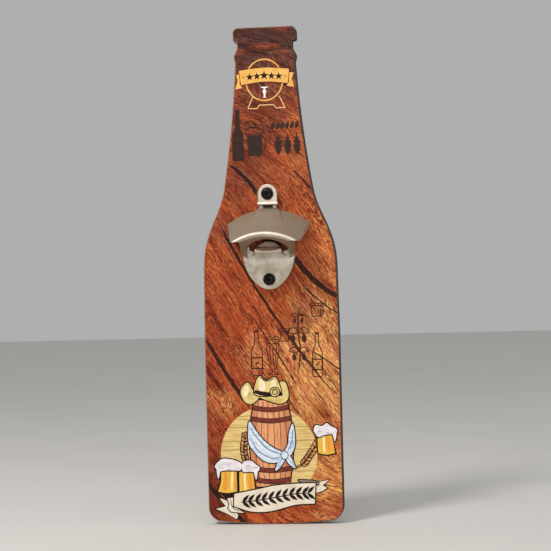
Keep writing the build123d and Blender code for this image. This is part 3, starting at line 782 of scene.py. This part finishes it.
def emblem():
    """Gold ring with a ribbon of stars and a small tap, on a plain trestle."""
    middle, centre_h = -1.5, 340.2
    tails = [
        patch((-20.5, 345.5), (-23.1, 344.2), (-21.9, 340.2), (-24, 333.6), (-18.5, 334.6), (-20.5, 337.5)),
        patch((17.5, 345.5), (21.4, 345), (19.8, 340.6), (21.4, 334), (15.6, 335.2), (17.5, 338))]
    ribbon = [curve([(-20.8, 347.8), (middle, 349.6), (17.8, 348)])
              + curve([(16.6, 337.2), (middle, 338.9), (-19.4, 336.8)])]
    ring = hoop(middle, centre_h, 14.2, 15.8, 1)
    staves = [stroke([(x, centre_h - 4), (x, centre_h - 13.5 + lift)], 0.5, ends=1.0)
              for x, lift in ((-9.5, 2.5), (-5, 0), (2, 0), (6.5, 2.5))]
    staves += [stroke([(x, 350), (x, 354.2)], 0.5, ends=1.0) for x in (-5, 2)]
    stand = [(-10.6, 327.6), (-14.6, 318.6), (-7.6, 318.4), (-5.8, 321), (5.2, 321), (7, 318.4), (14, 318.6),
             (9.6, 327.6)]
    legs = [stroke([start, end], 0.75, ends=1.0) for start, end in zip(stand, stand[1:])]
    tap = [mirrored(middle, 0, 1, 1, [(2.7, 335), (2.7, 334.2), (0.6, 333.8), (0.6, 333), (1.7, 331.6),
                                      (0.8, 329.4), (0.6, 327.6), (1.3, 326.6)])]
    stars = [star(middle + 5.6 * k, 343.1 + 0.45 * (1 - abs(k)), 3.1 if k else 3.6) for k in range(-2, 3)]
    dots = [oval(x, 342.6, 0.55, 0.55) for x in (-17.6, 14.9)]
    picture("print_emblem", [
        (staves, 1, FAINT_LINE), ([ring], 1.5, GOLD), (legs, 1, PALE_LINE), (tap, 1.5, WHITE),
        (tails, 2, GOLD), *edged(ribbon, 0.45, 2.5, 3, GOLD), (stars + dots, 4, OUTLINE)], shift=0.9)


def silhouettes():
    """Dark bottle, mug, barley grains and hop cones below the emblem."""
    side = [(1.7, 318), (1.7, 306), (2.2, 303.5), (4.4, 299), (4.5, 280), (3.9, 278.5)]
    bottle = mirrored(-22.9, 0, 1, 1, side)
    glass = patch((-15.8, 298.2), (-4, 298.2), (-4.6, 282.2), (-15.2, 282.2))
    head = blob((-16.2, 299.4), (-15.6, 303), (-11, 304.4), (-6, 303.6), (-3.4, 301.6), (-4, 299.4),
                (-10, 299.2))
    grip = rim(blob((-4.6, 296), (-2.6, 295.6), (-1.6, 291.5), (-2.6, 286.8), (-4.8, 286.4)), 1)
    grains = [kernel(3.4 + 3.7 * k, 301.6 + 0.1 * k, 6.6, 2.9, 16) for k in range(6)]
    cones = []
    for x in (8.2, 15.4, 22.6):
        cones += [hop_cone(x, 296.4, 6.4, 14.4), stroke([(x, 295.6), (x - 0.4, 299)], 1, ends=0.8)]
    picture("print_silhouettes", [
        ([bottle, glass, grip] + grains + cones, 1, SILHOUETTE), ([rim(head, 0.8)], 1, SKETCH)], shift=0.8)


def line_mug(x, h, wide, tall):
    """Small pen drawing of a mug with its foam."""
    left, right, top = x - wide / 2, x + wide / 2, h + tall
    foam = blob((left - 0.7, top - 0.9), (left - 0.5, top + 0.6), (left + 0.3 * wide, top + 1.2),
                (x + 0.2 * wide, top + 0.7), (right + 0.2, top + 1), (right + 0.6, top - 0.7))
    grip = blob((right, top - 2), (right + 1.7, top - 2.4), (right + 1.7, h + 1.6), (right, h + 1.2))
    glass = patch((left, top - 1), (left + 0.3, h), (right - 0.3, h), (right, top - 1))
    ribs = [stroke([(x + share * wide, top - 2), (x + share * wide, h + 1)]) for share in (-0.18, 0.18)]
    return [rim(glass), rim(foam), rim(grip), *ribs]


def line_bottle(x, h, wide, tall):
    """Small pen drawing of a bottle with a starred label and a cap."""
    size = (x, h, wide / 2, tall)
    outline = mirrored(*size, [(0.32, 1), (0.36, 0.74), (0.96, 0.56), (1, 0.03), (0.8, 0)])
    label = patch(*fitted(*size, [(-1, 0.4), (1, 0.4), (1, 0.16), (-1, 0.16)]))
    cap = patch(*fitted(x, h + tall, wide / 2, 1, [(-0.45, 0.8), (0.45, 0.8), (0.5, -0.8), (-0.5, -0.8)]))
    neck = stroke(fitted(*size, [(-0.36, 0.8), (0.36, 0.8)]))
    gleam = stroke(fitted(*size, [(-0.5, 0.54), (-0.55, 0.44)]))
    badge = star(x, h + 0.28 * tall, 0.42 * wide / 2)
    return [rim(outline), rim(label, PEN * 1.4), cap, neck, gleam, badge]


def line_glass(x, h, wide, tall):
    """Pen drawing of a tall footed glass with its foam and ribs."""
    size = (x, h, wide / 2, tall)
    side = [(0.86, 1), (1, 0.72), (0.5, 0.2), (0.16, 0.13), (0.16, 0.06), (0.72, 0.03), (0.72, 0)]
    outline = mirrored(*size, side)
    head = [(-0.95, 0.9), (-1.1, 1), (-0.5, 1.08), (0, 1.04), (0.55, 1.09), (1.1, 1), (0.95, 0.9), (0, 0.87)]
    foam = blob(*fitted(*size, head))
    ribs = [stroke(fitted(*size, [(share, 0.84), (1.1 * share, 0.7), (0.5 * share, 0.24)]))
            for share in (-0.5, 0, 0.5)]
    return [rim(outline), rim(foam), *ribs]


def line_hops(x, h, tall):
    """Pen drawing of a hop bine: a stem with pairs of leaves and hanging cones."""
    stem = [(x - 1.2, h), (x + 1, h + 0.35 * tall), (x - 0.6, h + 0.7 * tall), (x + 1.2, h + tall)]
    shapes = [stroke(stem, PEN * 1.4)]
    for share, reach in ((0.34, 7.5), (0.62, 8.5), (0.86, 5.5)):
        foot = h + share * tall
        for side in (-1, 1):
            size = (x, foot, side * reach, reach)
            leaf = blob(*fitted(*size, [(0, 0), (0.35, 0.42), (0.7, 0.4), (1, 0.1), (0.6, -0.05)]))
            shapes += [rim(leaf), stroke(fitted(*size, [(0, 0), (0.8, 0.18)]))]
            shapes.append(hop_cone(x + side * 0.5 * reach, foot - 1, 0.5 * reach, 0.85 * reach))
    return shapes


def line_art():
    """Pen drawings scattered over the boards: bottles, a footed glass, a hop bine and mugs."""
    shapes = line_bottle(-12, 114, 8.4, 34) + line_glass(0.5, 114.5, 9.5, 27) + line_mug(9.6, 140, 6, 8.5)
    shapes += line_hops(20.5, 114, 52) + line_mug(34.5, 158.5, 7.2, 9) + line_bottle(34.5, 112.5, 7.6, 33)
    picture("print_line_art", [(shapes, 1, SKETCH)], shift=0.4)


def roundel():
    """Disc of pale planks behind the cask."""
    picture("print_roundel", [([oval(-4.2, 53.5, 37.2, 37.2, sides=96)], 1, PLANKS)])


def cask():
    """Upright cask with hoops on its staves."""
    middle, bulge, top, foot = -2, 16.6, 95, 29.0

    def half_wide(h):
        return bulge - 4.4 * ((h - 62) / 33) ** 2

    heights = [top - (top - foot) * k / 10 for k in range(11)]
    body = [Vector((middle + half_wide(h), h)) for h in heights]
    body += [Vector((middle - half_wide(h), h)) for h in heights[::-1]]
    seams = [stroke([(middle + share * half_wide(h), h) for h in (94, 78, 62, 46, 30)], 0.5, ends=1.0)
             for share in (-0.74, -0.46, -0.16, 0.14, 0.44, 0.72)]
    bands = []
    for h in (91, 82.5, 44.5, 36):
        reach = half_wide(h) + 0.35
        upper = curve([(middle - reach, h), (middle, h - 1.8), (middle + reach, h)])
        lower = curve([(middle + reach, h - 3.2), (middle, h - 5), (middle - reach, h - 3.2)])
        bands.append(upper + lower)
    picture("print_cask", [
        *edged([body], 1, 2, 3, STAVES), (seams, 3.5, HOOP), *edged(bands, 0.4, 4, 4.5, HOOP)])


def ears():
    """An ear of barley on each side of the cask."""
    shapes = barley([(12, 42), (20.5, 45), (27, 52.5), (33, 61.5)], 8, 5.6, 3)
    shapes += barley([(-17, 40), (-21.5, 48), (-23.4, 57), (-22.4, 66)], 8, 5.2, 2.8)
    husks = [rim(shape, 0.5) for shape in shapes]
    picture("print_ears", [*edged(shapes, 0.5, 2, 3, BARLEY), (husks, 3.5, OUTLINE)])


def neckerchief():
    """Knotted cloth over the cask."""
    left = blob((-18.6, 79), (-13.5, 71.5), (-7.5, 64), (-0.5, 58.5), (6.8, 54.6), (7.4, 50), (0, 47),
                (-8, 48.6), (-14.6, 54.6), (-19.4, 62), (-19.8, 71))
    right = blob((14.6, 77), (11.6, 69.5), (10.6, 61), (7, 54.6), (7.4, 50.4), (12.6, 53), (15.8, 59.5),
                 (16, 68.5))
    tails = [blob((6.2, 51.8), (2.6, 47.5), (0.4, 41), (4.6, 44), (8.2, 50)),
             blob((8.4, 52.2), (10.6, 46.6), (15.8, 42.6), (14.2, 48), (11.4, 52.6))]
    knot = [blob((5.2, 53.8), (7.6, 55.8), (10.2, 53.8), (9.4, 50.4), (6.4, 50.2))]
    folds = [stroke(run, 0.9) for run in (
        [(-18.6, 74.5), (-12.5, 65.5), (-4.5, 57.5), (4.6, 53.6)],
        [(-18.4, 66.5), (-12.5, 56.6), (-3.5, 51), (4.4, 51)],
        [(14.6, 72.5), (13.6, 63), (10.4, 56)],
        [(14.8, 62), (12.6, 56.6)],
        [(3.2, 46), (5.8, 50.4)],
        [(10.2, 51), (13.4, 46.4)])]
    shine = [stroke([(-15.8, 68.5), (-10.5, 60.5), (-4, 55)], 1.6),
             stroke([(-15.6, 61.5), (-9.5, 53.4), (-2.5, 49.6)], 1.4)]
    picture("print_cloth", [
        (outlined([right, left] + tails, 0.9), 5, OUTLINE), ([right] + tails, 6, CLOTH), ([left], 6.3, CLOTH),
        (shine, 6.6, WHITE), (folds, 6.9, CLOTH_FOLD),
        *edged(knot, 0.6, 7.2, 7.6, CLOTH)])


def hat():
    """Plain broad hat on the cask."""
    crown = [blob((-14, 100), (-12.5, 110), (-9.5, 113.5), (-5, 110.3), (1.5, 112.6), (4.2, 109), (5.8, 101),
                  (-3, 98.5))]
    left = [blob((-24.6, 100), (-24, 105), (-20, 108.6), (-17.4, 107), (-15.6, 102.8), (-12.6, 100.6),
                 (-11, 97), (-14.5, 93.4), (-18.4, 92.2), (-22, 94.6))]
    right = [blob((4.8, 108.2), (9.5, 108.6), (11.4, 104), (12, 98), (10, 94), (5, 92.2), (-3, 94.3),
                  (-10, 97.2), (-14.6, 99), (-10, 100.2), (-2, 98.6), (4, 100))]
    light = [blob((-10.8, 104), (-9.6, 111.4), (-6.4, 109), (-5.6, 104), (-8, 102)),
             blob((-22.8, 101), (-22, 105), (-19.6, 106.4), (-18.4, 103), (-20.6, 98)),
             blob((-1.5, 104.5), (-0.6, 109.8), (2.2, 110.2), (3, 106), (1, 104))]
    band = [stroke([(-14.2, 101.8), (-8, 100.2), (-2, 99.6), (7.5, 99.4)], 3, ends=0.8)]
    crease = [stroke([(-9, 112.6), (-5.2, 109.8), (0.8, 111.6)], 0.8)]
    spot = (1.6, 101.2)
    buckle = [hoop(*spot, 3.7, 3.7, 0.8), hoop(*spot, 2, 2, 0.7)]
    picture("print_hat", [
        *edged(left + right, 0.9, 6, 7, HAT), *edged(crown, 0.9, 7.5, 8, HAT),
        (light, 8.5, HAT_LIGHT), (crease, 9, OUTLINE),
        (band, 9, OUTLINE), ([oval(*spot, 3.7, 3.7)], 9.5, HAT), (buckle, 10, OUTLINE)])


def mug(name, glass, foam, drip, layer, amber=0.34, glint=0.72):
    """Mug of beer from its glass (left, right, top, foot left, foot right, foot), foam and a drip.

    Amber and glint say how far across the glass its darker band and its bright one lie.
    """
    left, right, top, foot_left, foot_right, foot = glass
    wide = right - left
    waist = (top + foot) / 2
    body = [curve([(left, top), (left - 0.1, waist), (foot_left, foot)])
            + curve([(foot_left, foot), ((foot_left + foot_right) / 2, foot - 1.2), (foot_right, foot)])[1:]
            + curve([(foot_right, foot), (right + 0.1, waist), (right, top)])[1:]]

    def band(across, thick):
        upper = left + (right - left) * across
        lower = foot_left + (foot_right - foot_left) * across
        run = [(upper, top - 0.4), (upper * 0.6 + lower * 0.4, waist), (lower, foot + 0.6)]
        return stroke(run, wide * thick, ends=0.5)

    froth = [blob(*foam), blob(*drip)]
    start_x, start_h = foam[0]
    curls = [stroke([(x, h), (x + 1.6, h + 0.9), (x + 3.4, h)], 0.5)
             for x, h in ((start_x + 3, start_h - 1.5), (start_x + 9, start_h - 3))]
    picture(name, [
        *edged(body, 1.1, layer, layer + 0.6, BEER),
        ([band(amber, 0.3), band(0.93, 0.12)], layer + 1.1, AMBER), ([band(glint, 0.13)], layer + 1.1, GLINT),
        *edged(froth, 0.9, layer + 1.6, layer + 2.2, FOAM), (curls, layer + 2.6, CLOTH_FOLD)])


def mugs():
    """Three mugs of beer: one on the right and a pair on the left."""
    mug("print_mug_right", (33.6, 45.2, 67.5, 33.8, 46.6, 54),
        [(30.6, 71.5), (32.5, 75.4), (37, 74.6), (40.5, 76.8), (44, 74.4), (48.2, 72.2), (47.6, 68.6),
         (42, 68.2), (37.5, 67.4), (34.5, 66.2), (32.4, 68)],
        [(45.2, 69), (47.8, 69), (47.4, 64.4), (46.4, 63), (45.8, 65)], 3, amber=0.66, glint=0.38)
    mug("print_mug_left", (-41.6, -29.6, 41, -44.2, -29.6, 25.5),
        [(-46.2, 44.6), (-44, 48), (-40, 50.6), (-34, 50.2), (-28.5, 48.6), (-25.4, 46), (-26.6, 41.8),
         (-33, 41.6), (-39, 41.6), (-43, 41)],
        [(-44.8, 43), (-42.4, 43), (-42.8, 38.4), (-43.8, 35.6), (-44.6, 38)], 5)
    mug("print_mug_middle", (-27.4, -16.4, 40.5, -27.6, -15.2, 25),
        [(-25.2, 46), (-22.8, 48.6), (-18, 48.8), (-14.6, 46), (-11.6, 43.6), (-13.4, 40.4), (-18.5, 40.4),
         (-24.5, 40.6)],
        [(-16.2, 42), (-13.6, 42), (-13.6, 37.4), (-14.4, 34.4), (-15.6, 37)], 5, amber=0.7, glint=0.36)


def banner():
    """Blank scroll across the foot, with an ear of barley where a name might stand."""
    top = curve([(-31.6, 23.6), (-12, 27.2), (0, 29.6), (15, 30.8), (31, 31.2)])
    low = curve([(30, 15.6), (15, 14.8), (0, 10.9), (-10, 9.6), (-20, 10.2), (-32.2, 14.2)])
    sheet = [top + low]
    fold = [patch((-37.3, 20.2), (-31.2, 20.9), (-32, 14.4), (-29.8, 12.4), (-24.5, 8.9), (-34.3, 9.8),
                  (-36.7, 12.4), (-35.9, 16))]
    tails = [patch((-43.2, 20.4), (-37.1, 18.3), (-35.8, 14.8), (-36.5, 11.6), (-40.7, 17)),
             patch((-46.2, 12.3), (-38.5, 14.1), (-35.7, 10.2), (-29.6, 8.4), (-29.2, 6.2), (-30.5, 4.2),
                   (-38, 8.6)),
             patch((30.6, 31.2), (41.4, 33.6), (36.4, 29.4), (39.8, 27.4), (36.2, 25.2), (30.6, 23.4))]
    roll = [blob((18, 33.6), (25, 33.4), (32.4, 32.4), (33, 30), (31, 30.4), (22, 31.6))]
    shade = [patch((-41.8, 24), (-27, 24.6), (-31, 20.6), (-38.4, 19.8))]
    creases = [stroke([(-34.6, 19.6), (-34.2, 15.6), (-32.6, 12.6), (-27.5, 10.2)], 0.6)]
    spine = [(-26.5, 17.2), (-14, 18.4), (0, 20.6), (14, 23), (25.5, 23.6)]
    ear = [stroke(spine, 0.9, ends=0.8)]
    run = curve(spine, steps=8)
    for here, after in list(zip(run, run[1:]))[1::3]:
        for side in (-1, 1):
            ear.append(kernel(here.x, here.y, 7.8, 2.7, lean(here, after) + side * 42))
    picture("print_banner", [
        (shade, 7.2, OUTLINE), *edged(tails, 0.8, 7.5, 7.9, PAPER),
        *edged(fold, 0.8, 8.2, 8.6, PAPER), (creases, 8.9, OUTLINE),
        *edged(roll, 0.8, 8.3, 8.8, PAPER_SHADE), *edged(sheet, 0.95, 9.2, 9.8, PAPER), (ear, 10.4, OUTLINE)])


# ---------------- finishes, light and camera


def finish_nodes():
    """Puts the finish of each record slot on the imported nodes."""
    finishes = {"fibreboard": fibreboard(), "printed_film": wood_print(), "cast_metal": cast_nickel(),
                "black_screw": black_oxide(), "zinc_plate": bright_zinc()}
    for part in frame["record"]["subparts"]:
        mesh = frame["nodes"][part["node"]].data
        mesh.materials.clear()
        mesh.materials.append(finishes[part["material_slot"]])


def lamp(name, where, size, watts, colour):
    """Square soft light aimed at the middle of the plaque."""
    data = bpy.data.lights.new(name, "AREA")
    data.size = size
    data.energy = watts
    data.color = colour
    light = bpy.data.objects.new(name, data)
    light.location = where
    light.rotation_euler = (place(0, 190) - Vector(where)).to_track_quat("-Z", "Y").to_euler()
    bpy.context.scene.collection.objects.link(light)


def studio():
    """Pale floor, pale surroundings, and a soft key from the upper left."""
    lamp("key_light", (-0.5, -0.8, 0.95), 0.3, 10.8, (1.0, 0.97, 0.93))
    lamp("front_light", (0.25, -1.7, 0.1), 0.8, 6.5, (1.0, 0.98, 0.96))
    lamp("rim_light", (0.1, -0.75, 0.95), 0.6, 1.2, (1.0, 0.98, 0.95))
    world = bpy.data.worlds.new("surroundings")
    world.use_nodes = True
    background = world.node_tree.nodes["Background"]
    background.inputs["Color"].default_value = (0.78, 0.78, 0.78, 1)
    background.inputs["Strength"].default_value = 0.55
    bpy.context.scene.world = world
    bpy.context.scene.view_settings.view_transform = "Standard"
    reach = 4.0
    mesh = bpy.data.meshes.new("floor")
    corners = [(x * reach, y * reach, BOTTOM_Z) for x, y in ((-1, -1), (1, -1), (1, 1), (-1, 1))]
    mesh.from_pydata(corners, [], [(0, 1, 2, 3)])
    mesh.materials.append(studio_floor())
    floor = bpy.data.objects.new("floor", mesh)
    bpy.context.scene.collection.objects.link(floor)


def camera():
    """Nearly square on, a little from the right and tilted by the way the plaque hangs."""
    target = place(4.3, 190.3)
    azimuth, roll = math.radians(6.5), math.radians(1.45)
    distance, width = 1.3, 0.4215
    data = bpy.data.cameras.new("camera")
    data.sensor_width = 36.0
    data.lens = data.sensor_width * distance / width
    data.clip_end = 50
    away = Vector((math.sin(azimuth), -math.cos(azimuth), 0.0))
    turn = (-away).to_track_quat("-Z", "Y").to_matrix() @ Matrix.Rotation(-roll, 3, "Z")
    view = bpy.data.objects.new("camera", data)
    view.matrix_world = Matrix.Translation(target + away * distance) @ turn.to_4x4()
    bpy.context.scene.collection.objects.link(view)
    bpy.context.scene.camera = view


camera()
studio()
finish_nodes()
for motif in (emblem, silhouettes, line_art, roundel, cask, ears, neckerchief, hat, mugs, banner):
    motif()
